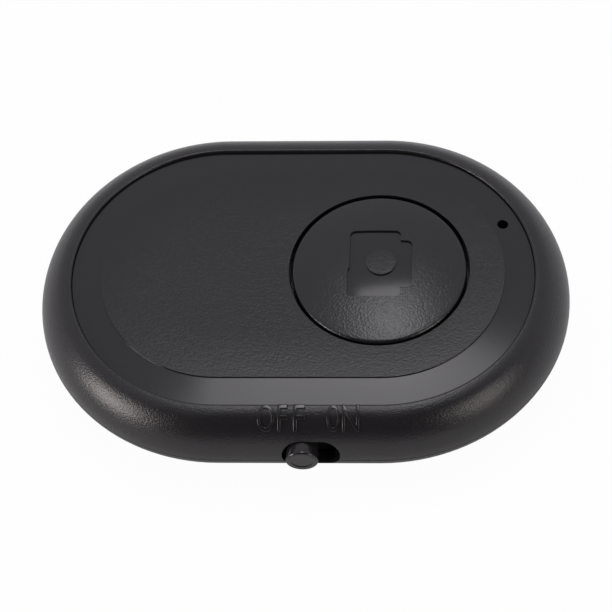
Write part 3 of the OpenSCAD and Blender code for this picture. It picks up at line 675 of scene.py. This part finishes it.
# Face plate: a separate moulding taped into the recess. A polished band slopes up from the rim
# to a finely textured field, a small step higher and slightly rounded off along its edge. The
# lamp shines through the small hole.
band_w = 2.8 * mm
band_drop = 0.38 * mm
field_r = face_r - band_w
band_z = rim_top - band_drop
band_fall = 0.28 * mm
field_z = plate_high[2]
plate_r = plate_high[1]
field_edge = 0.05 * mm
foot_fillet = 0.06 * mm
round_off = 5.0 * mm
round_off_a = math.radians(3.3)
round_off_r = round_off / math.sin(round_off_a)
at = begin_section("face_plate_moulding", 0, plate_low[2])
line_to(at, plate_r, plate_low[2])
line_to(at, plate_r, band_z)
line_to(at, field_r + foot_fillet, band_z + band_fall)
arc_round(at, field_r + foot_fillet, band_z + band_fall + foot_fillet, -math.pi / 2, steps=5)
line_to(at, field_r, field_z - round_off_r * (1 - math.cos(round_off_a)))
arc_round(at, field_r - round_off, field_z - round_off_r, round_off_a, steps=8)
line_to(at, 0, field_z)
plate = carry_round_oval()
plate_holes = (("button_hole", button_c, button_hole_r, 144), ("lamp_hole", lamp_c, lamp_hole_r, 48))
for name, centre, r, steps in plate_holes:
    hole = round_bar(name, centre, r, plate_low[2] - over, field_z + over, steps)
    combine(plate, hole, "DIFFERENCE")
soften(plate, field_edge, segments=4)
band_black = (0.0112, 0.0110, 0.0118)
field_black = (0.0085, 0.0083, 0.0092)
polished_plastic = moulded_plastic("polished band", band_black, roughness=0.16,
                                   grain=0.8 * mm, depth=0.0010 * mm, polish_spread=0.02)
field_plastic = moulded_plastic("fine textured field", field_black, roughness=0.25,
                                grain=0.19 * mm, depth=0.026 * mm)
plate.data.materials.append(polished_plastic)
plate.data.materials.append(field_plastic)
field_low_z = band_z + band_fall + foot_fillet
nearly_level = 0.9
for face in plate.data.polygons:
    face.material_index = int(face.center.z > field_low_z and face.normal.z > nearly_level)
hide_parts("face_plate")
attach(plate, "housing")


# Shutter button: one round satin moulding with a domed top, a straight skirt and a flange under
# the deck. A camera pictogram is sunk into the dome with a polished floor, its lens left proud.
dome_rise = button_high[2] - field_z
dome_r = (button_r ** 2 + dome_rise ** 2) / (2 * dome_rise)
dome_c = button_high[2] - dome_r
button_edge_r = 0.35 * mm
edge_x = button_r - button_edge_r
edge_z = dome_c + math.sqrt((dome_r - button_edge_r) ** 2 - edge_x ** 2)
edge_a = math.atan2(edge_z - dome_c, edge_x)
flange_z = button_low[2]
flange_t = 0.6 * mm
cap_t = 1.5 * mm
skirt_t = 1.2 * mm
skirt_in = button_r - skirt_t
cap_under_z = button_high[2] - cap_t
pin_r = 1.4 * mm
pin_gap = 0.05 * mm
pin_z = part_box("push_switch_stem")[1][2] + pin_gap
at = begin_section("button_moulding", 0, button_high[2])
arc_round(at, 0, dome_c, edge_a - math.pi / 2, steps=32)
arc_round(at, edge_x, edge_z, -edge_a, steps=8)
line_to(at, button_r, flange_z + flange_t)
line_to(at, flange_r, flange_z + flange_t)
line_to(at, flange_r, flange_z)
line_to(at, skirt_in, flange_z)
line_to(at, skirt_in, cap_under_z)
line_to(at, pin_r, cap_under_z)
line_to(at, pin_r, pin_z)
line_to(at, 0, pin_z)
button = carry_round_axis(button_c, steps=144)
rib_half = 0.4 * mm
rib_h = 1.2 * mm
rib_sunk = 0.4 * mm
rib_short = 0.6 * mm
rib_reach = button_r - rib_short
for half_x, half_y in (rib_reach, rib_half), (rib_half, rib_reach):
    rib = block("rib", (button_c[0] - half_x, button_c[1] - half_y, cap_under_z - rib_h),
                (button_c[0] + half_x, button_c[1] + half_y, cap_under_z + rib_sunk))
    combine(button, rib, "UNION")
key_slot_half = 1.0 * mm
key_slot_l = 0.75 * mm
flange_x = button_c[0] - flange_r
key_slot = block("key_slot", (flange_x - over, button_c[1] - key_slot_half, flange_z - over),
                 (flange_x + key_slot_l, button_c[1] + key_slot_half, flange_z + flange_t + over))
combine(button, key_slot, "DIFFERENCE")

icon_deep = 0.18 * mm
icon_body = ((-2.75 * mm, -3.6 * mm), (2.0 * mm, 3.75 * mm))
icon_hump = ((1.0 * mm, -2.6 * mm), (3.08 * mm, 2.6 * mm))
icon_grip = ((-2.95 * mm, -3.6 * mm), (0, -0.4 * mm))
icon_corner = 0.5 * mm
lens_c = (0.19 * mm, 0.07 * mm)
lens_r = 1.38 * mm
icon_reach_a = math.radians(10)
small_edge = 0.03 * mm


def icon_bar(name, corners):
    """An upright bar with rounded corners, placed from the centre of the button."""
    (x0, y0), (x1, y1) = corners
    bar = block(name, (button_c[0] + x0, button_c[1] + y0, cap_under_z),
                (button_c[0] + x1, button_c[1] + y1, button_high[2] + mm))
    choose(bar, "EDGE", lambda line: len({bar.data.vertices[i].co.z for i in line.vertices}) > 1)
    bpy.ops.mesh.bevel(offset=icon_corner, offset_type="OFFSET", segments=6, affect="EDGES")
    bpy.ops.mesh.select_mode(type="VERT")
    bpy.ops.object.mode_set(mode="OBJECT")
    return bar


icon = icon_bar("icon", icon_body)
combine(icon, icon_bar("hump", icon_hump), "UNION")
combine(icon, icon_bar("grip", icon_grip), "UNION")
lens = (button_c[0] + lens_c[0], button_c[1] + lens_c[1])
lens_bar = round_bar("lens", lens, lens_r, cap_under_z - over, button_high[2] + 2 * mm, steps=64)
combine(icon, lens_bar, "DIFFERENCE")
at = begin_section("over_dome", 0, button_high[2] - icon_deep)
arc_round(at, 0, dome_c, -icon_reach_a, steps=22)
line_to(at, at[0], button_high[2] + over)
line_to(at, 0, button_high[2] + over)
combine(icon, carry_round_axis(button_c, steps=144), "INTERSECT")
button_black = (0.0112, 0.0110, 0.0118)
icon_black = (0.0118, 0.0116, 0.0124)
button_plastic = moulded_plastic("button plastic", button_black, roughness=0.24,
                                 grain=0.21 * mm, depth=0.034 * mm)
icon_plastic = moulded_plastic("polished pictogram", icon_black, roughness=0.14,
                               grain=0.6 * mm, depth=0.001 * mm, polish_spread=0.02)
button.data.materials.append(button_plastic)
button.data.materials.append(icon_plastic)
icon.data.materials.append(icon_plastic)
combine(button, icon, "DIFFERENCE")
soften(button, small_edge)
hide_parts("shutter_button")
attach(button, "shutter_button")


# Power knob: a round peg through the slot, with a guide plate behind it and a fork that takes
# the tab of the slide switch. One small moulding in the shells' black, glossier than they are.
knob_x = (knob_low[0] + knob_high[0]) / 2
peg_r = slot_h / 2 - play
peg_edge = 0.2 * mm
edge_ring = 1.3 * peg_edge
dish_share = 0.65
dish_r = dish_share * peg_r
dish = 0.08 * mm
plate_y = pocket_y + play
plate_t = 0.8 * mm
fork_half = 1.5 * mm
fork_half_h = 0.75 * mm
tab_gap = 0.7 * mm
tab_gap_half_h = 1.0 * mm
knob_edge = 0.04 * mm
peg_l = plate_y + plate_t / 2 - knob_low[1]
at = begin_section("knob_moulding", 0, dish)
line_to(at, dish_r, dish)
line_to(at, dish_r, 0)
line_to(at, peg_r - peg_edge, 0)
arc_round(at, peg_r - peg_edge, peg_edge, math.pi / 2, steps=5)
line_to(at, peg_r, edge_ring)
line_to(at, peg_r, peg_l)
line_to(at, 0, peg_l)
knob = carry_round_axis((0, 0), steps=72)
knob.rotation_euler[0] = -math.pi / 2
knob.location = (knob_x, knob_low[1], switch_z)
bpy.ops.object.transform_apply(location=True, rotation=True, scale=True)
guide_plate = block("guide_plate", (knob_low[0], plate_y, knob_low[2]),
                    (knob_high[0], plate_y + plate_t, knob_high[2]))
combine(knob, guide_plate, "UNION")
fork = block("fork", (knob_x - fork_half, plate_y + plate_t / 2, switch_z - fork_half_h),
             (knob_x + fork_half, knob_high[1], switch_z + fork_half_h))
tab_slot = block("tab_slot", (knob_x - tab_gap, plate_y + plate_t, switch_z - tab_gap_half_h),
                 (knob_x + tab_gap, knob_high[1] + over, switch_z + tab_gap_half_h))
combine(fork, tab_slot, "DIFFERENCE")
combine(knob, fork, "UNION")
soften(knob, knob_edge)
knob_plastic = moulded_plastic("knob plastic", shell_black, roughness=0.13,
                               grain=0.15 * mm, depth=0.004 * mm)
knob.data.materials.append(knob_plastic)
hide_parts("switch_knob")
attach(knob, "power_knob")


# Switch lettering: OFF and ON stand a hair proud of the rim above the slot, moulded with the top
# shell. Each letter has rounded, polished edges and is bent over the rim from its foot upwards.
word_in = 0.08 * mm
word_reach = 2.08 * mm
word_top_r = face_r + word_in
word_foot_r = word_top_r + word_reach
word_top_a = math.acos((word_top_r - shoulder_c) / shoulder_r)
word_foot_a = math.acos((word_foot_r - side_c) / side_r)
word_h = side_r * (shoulder_a - word_foot_a) + shoulder_r * (word_top_a - shoulder_a)
word_proud = 0.13 * mm
word_deep = 0.25 * mm
word_rows = 14
stroke_t = 0.03
stroke_round = 0.03
stroke_grown = -0.012
lettering_plastic = moulded_plastic("lettering", shell_black, roughness=0.16,
                                    grain=0.15 * mm, depth=0.002 * mm, polish_spread=0.02)

at = begin_section("rim_path", word_foot_r, widest_z + side_r * math.sin(word_foot_a))
arc_round(at, side_c, widest_z, shoulder_a - word_foot_a, steps=12)
arc_round(at, shoulder_c, rim_top - shoulder_r, word_top_a - shoulder_a, steps=16)
bpy.ops.object.mode_set(mode="OBJECT")
rim_path = bpy.context.object
rim_path.rotation_euler[2] = -math.pi / 2
rim_path.location[1] = run
bpy.ops.object.transform_apply(location=True, rotation=True, scale=True)
bpy.ops.object.convert(target="CURVE")
rim_path = bpy.context.object
for point in rim_path.data.splines[0].points:
    point.tilt = math.pi / 2


def raised_word(name, letters):
    """Letters, each with its left and right end, as one piece that follows the rim."""
    shapes = []
    for letter, left, right in letters:
        bpy.ops.object.select_all(action="DESELECT")
        bpy.ops.object.text_add()
        text = bpy.context.object.data
        text.body = letter
        text.extrude = stroke_t
        text.bevel_depth = stroke_round
        text.bevel_resolution = 3
        text.offset = stroke_grown
        text.resolution_u = 8
        bpy.ops.object.convert(target="MESH")
        shape = bpy.context.object
        low, high = shape.bound_box[0], shape.bound_box[6]
        shape.scale = ((right - left) / (high[0] - low[0]), word_h / (high[1] - low[1]),
                       (word_proud + word_deep) / (high[2] - low[2]))
        shape.location = (left - low[0] * shape.scale[0], -low[1] * shape.scale[1],
                          word_proud - high[2] * shape.scale[2])
        bpy.ops.object.transform_apply(location=True, rotation=True, scale=True)
        shapes.append(shape)
    for shape in shapes:
        shape.select_set(True)
    bpy.ops.object.join()
    word = bpy.context.object
    word.name = name
    word.data.name = name
    bpy.ops.object.mode_set(mode="EDIT")
    for row in range(1, word_rows):
        bpy.ops.mesh.select_all(action="SELECT")
        bpy.ops.mesh.bisect(plane_co=(0, row * word_h / word_rows, 0), plane_no=(0, 1, 0))
    merge_and_face_out()
    step = word.modifiers.new("bend", "CURVE")
    step.object = rim_path
    step.deform_axis = "POS_Y"
    bpy.ops.object.modifier_apply(modifier=step.name)
    soften(word, 0, corner=40)
    word.data.materials.append(lettering_plastic)
    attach(word, "housing")


off_letters = (("O", -3.6 * mm, -2.02 * mm), ("F", -1.75 * mm, -0.82 * mm), ("F", -0.33 * mm, 0.8 * mm))
on_letters = (("O", 2.72 * mm, 3.92 * mm), ("N", 4.12 * mm, 5.7 * mm))
raised_word("off_lettering", off_letters)
raised_word("on_lettering", on_letters)
bpy.data.objects.remove(rim_path)


# Camera: a long lens that looks down on the face from the front, turned a little to the right.
# Where it stands comes from the ovals in the photograph. The lamps are placed as it sees them.
azimuth = math.radians(6.867)
elevation = math.radians(56.697)
roll = math.radians(-5.809)
distance = 258 * mm
aim = Vector((0.486 * mm, -3.650 * mm, 10.0 * mm))
right = Vector((math.cos(azimuth), math.sin(azimuth), 0))
away = Vector((-math.sin(azimuth), math.cos(azimuth), 0))
upright = Vector((0, 0, 1))
back = math.sin(elevation) * upright - math.cos(elevation) * away
up = back.cross(right)
frame_right = math.cos(roll) * right + math.sin(roll) * up
frame_up = math.cos(roll) * up - math.sin(roll) * right
camera = bpy.data.cameras.new("camera")
camera.lens = 163.76
camera.sensor_width = 36
camera.clip_start = 0.01
camera_holder = bpy.data.objects.new("camera", camera)
turn = Matrix((frame_right, frame_up, back)).transposed().to_4x4()
camera_holder.matrix_world = Matrix.Translation(aim + distance * back) @ turn
bpy.context.collection.objects.link(camera_holder)
bpy.context.scene.camera = camera_holder
bpy.context.scene.view_settings.view_transform = "Standard"


# Floor: plain white paper. To the camera nearly all of its white is glow, and the lit rest keeps
# the shadow of the remote. Mirrored in the remote, only a small part of it glows.
floor_w = 4
bpy.ops.object.select_all(action="DESELECT")
bpy.ops.mesh.primitive_plane_add(size=floor_w)
floor = bpy.context.object
floor.name = "floor"
paper = bpy.data.materials.new("white paper")
paper.use_nodes = True
paper_nodes, paper_links = paper.node_tree.nodes, paper.node_tree.links
paper_shader = paper_nodes["Principled BSDF"]
paper_shader.inputs["Base Color"].default_value = (0.85, 0.85, 0.85, 1)
paper_shader.inputs["Roughness"].default_value = 0.9
glow = paper_nodes.new("ShaderNodeEmission")
rays = paper_nodes.new("ShaderNodeLightPath")
seen_share = 0.97
mirrored_share = 0.15
shares = (("Is Camera Ray", seen_share), ("Is Glossy Ray", mirrored_share),
          ("Is Transmission Ray", mirrored_share))
both = None
for ray, part in shares:
    added = paper_nodes.new("ShaderNodeMath")
    added.operation = "MULTIPLY_ADD"
    added.inputs[1].default_value = part
    added.inputs[2].default_value = 0
    paper_links.new(rays.outputs[ray], added.inputs[0])
    if both:
        paper_links.new(both.outputs["Value"], added.inputs[2])
    both = added
blend = paper_nodes.new("ShaderNodeMixShader")
paper_links.new(both.outputs["Value"], blend.inputs["Fac"])
paper_links.new(paper_shader.outputs["BSDF"], blend.inputs[1])
paper_links.new(glow.outputs["Emission"], blend.inputs[2])
paper_links.new(blend.outputs["Shader"], paper_nodes["Material Output"].inputs["Surface"])
floor.data.materials.append(paper)


# Light: a softbox with a brighter heart hangs over the remote, a little beyond it. Another stands
# low at the left, and a weaker one at the front right. The far side of the room is pale, and the
# side behind the camera is dark.
def softbox(name, side, depth, height, size, level, tint):
    """A rectangular lamp that faces the remote, placed to its right, behind it and above it."""
    place = side * right + depth * away + height * upright
    facing = place.normalized()
    across = away.cross(facing).normalized()
    lamp = bpy.data.lights.new(name, "AREA")
    lamp.shape = "RECTANGLE"
    lamp.size, lamp.size_y = size
    lamp.energy = level * size[0] * size[1] * math.pi
    lamp.color = tint
    holder = bpy.data.objects.new(name, lamp)
    facing_turn = Matrix((across, facing.cross(across), facing)).transposed().to_4x4()
    holder.matrix_world = Matrix.Translation(place) @ facing_turn
    bpy.context.collection.objects.link(holder)


soft_white = (1, 0.97, 1)
warm_white = (1, 0.93, 0.90)
softbox("top softbox", side=0.052, depth=0.109, height=0.742,
        size=(0.265, 0.412), level=2.7, tint=soft_white)
softbox("heart of the top softbox", side=0.052, depth=0.085, height=0.744,
        size=(0.20, 0.22), level=1.7, tint=soft_white)
softbox("left softbox", side=-0.680, depth=-0.275, height=0.156,
        size=(0.32, 0.37), level=8.5, tint=warm_white)
softbox("right softbox", side=0.517, depth=-0.465, height=0.281,
        size=(0.32, 0.32), level=4.0, tint=warm_white)

world = bpy.data.worlds.new("studio")
bpy.context.scene.world = world
world.use_nodes = True
room_nodes, room_links = world.node_tree.nodes, world.node_tree.links
direction = room_nodes.new("ShaderNodeTexCoord")
towards = room_nodes.new("ShaderNodeVectorMath")
towards.operation = "DOT_PRODUCT"
towards.inputs[1].default_value = away
brightness = room_nodes.new("ShaderNodeMapRange")
brightness.interpolation_type = "SMOOTHSTEP"
brightness.inputs["From Min"].default_value = -0.6
brightness.inputs["From Max"].default_value = 0.05
brightness.inputs["To Min"].default_value = 0.03
brightness.inputs["To Max"].default_value = 0.62
room_links.new(direction.outputs["Generated"], towards.inputs[0])
room_links.new(towards.outputs["Value"], brightness.inputs["Value"])
room_links.new(brightness.outputs["Result"], room_nodes["Background"].inputs["Strength"])
room_nodes["Background"].inputs["Color"].default_value = (1, 0.98, 1.05, 1)
